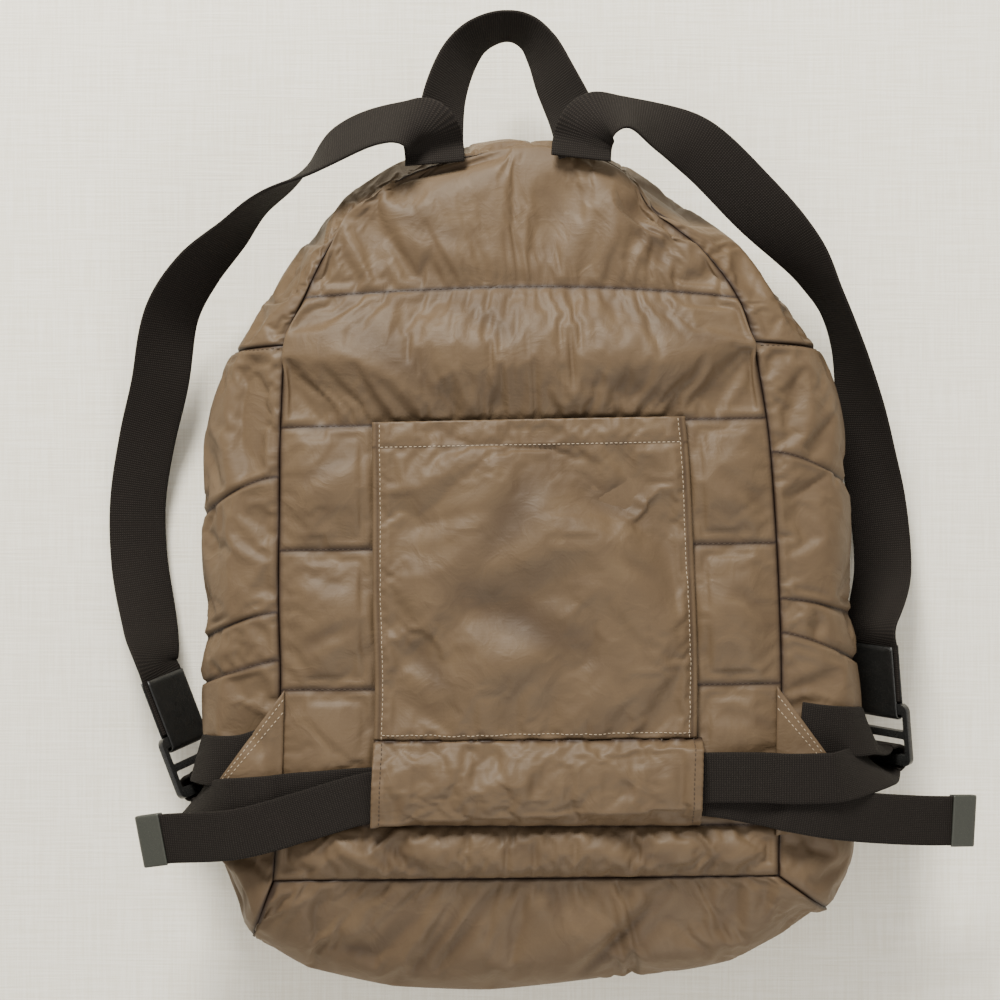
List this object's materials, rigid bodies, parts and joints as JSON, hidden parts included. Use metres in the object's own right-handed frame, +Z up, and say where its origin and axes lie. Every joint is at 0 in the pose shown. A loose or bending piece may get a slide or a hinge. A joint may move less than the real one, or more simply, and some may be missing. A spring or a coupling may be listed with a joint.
{
  "type": "quilted puffer backpack",
  "caption": "Padded backpack lying on its front, with a quilted back panel, a flat back pocket, webbing shoulder straps on ladder-lock sliders and a carry handle.",
  "frame": {"origin": "on the surface it lies on, under the middle of its outline", "axes": "+Z up out of the back panel, +Y towards the carry handle at the bag's top, +X towards the right shoulder strap as seen from above"},
  "size_m": [0.4523, 0.5002, 0.0959],
  "materials": {
    "nylon": "taupe woven nylon with a soft sheen, quilted over fill",
    "webbing": "black woven webbing, matte",
    "patch": "smooth black coated fabric, slightly glossy",
    "plastic": "black moulded plastic, satin",
    "tab": "grey-green coated fabric",
    "zip": "dark woven tape with moulded teeth"
  },
  "bodies": {
    "root": {"back_panel": "nylon", "front_panel": "nylon", "gusset_left": "nylon", "gusset_right": "nylon", "top_gusset_back": "nylon", "top_gusset_front": "nylon", "zip": "zip", "bottom_panel": "nylon", "back_pocket": "nylon", "strap_sleeve": "nylon", "wing_left": "nylon", "wing_right": "nylon", "shoulder_strap_left": "webbing", "shoulder_strap_right": "webbing", "handle": "webbing", "lower_strap_left": "webbing", "lower_strap_right": "webbing", "strap_patch_left": "patch", "strap_patch_right": "patch", "slider_left": "plastic", "slider_right": "plastic", "end_tab_left": "tab", "end_tab_right": "tab"}
  },
  "joints": []
}
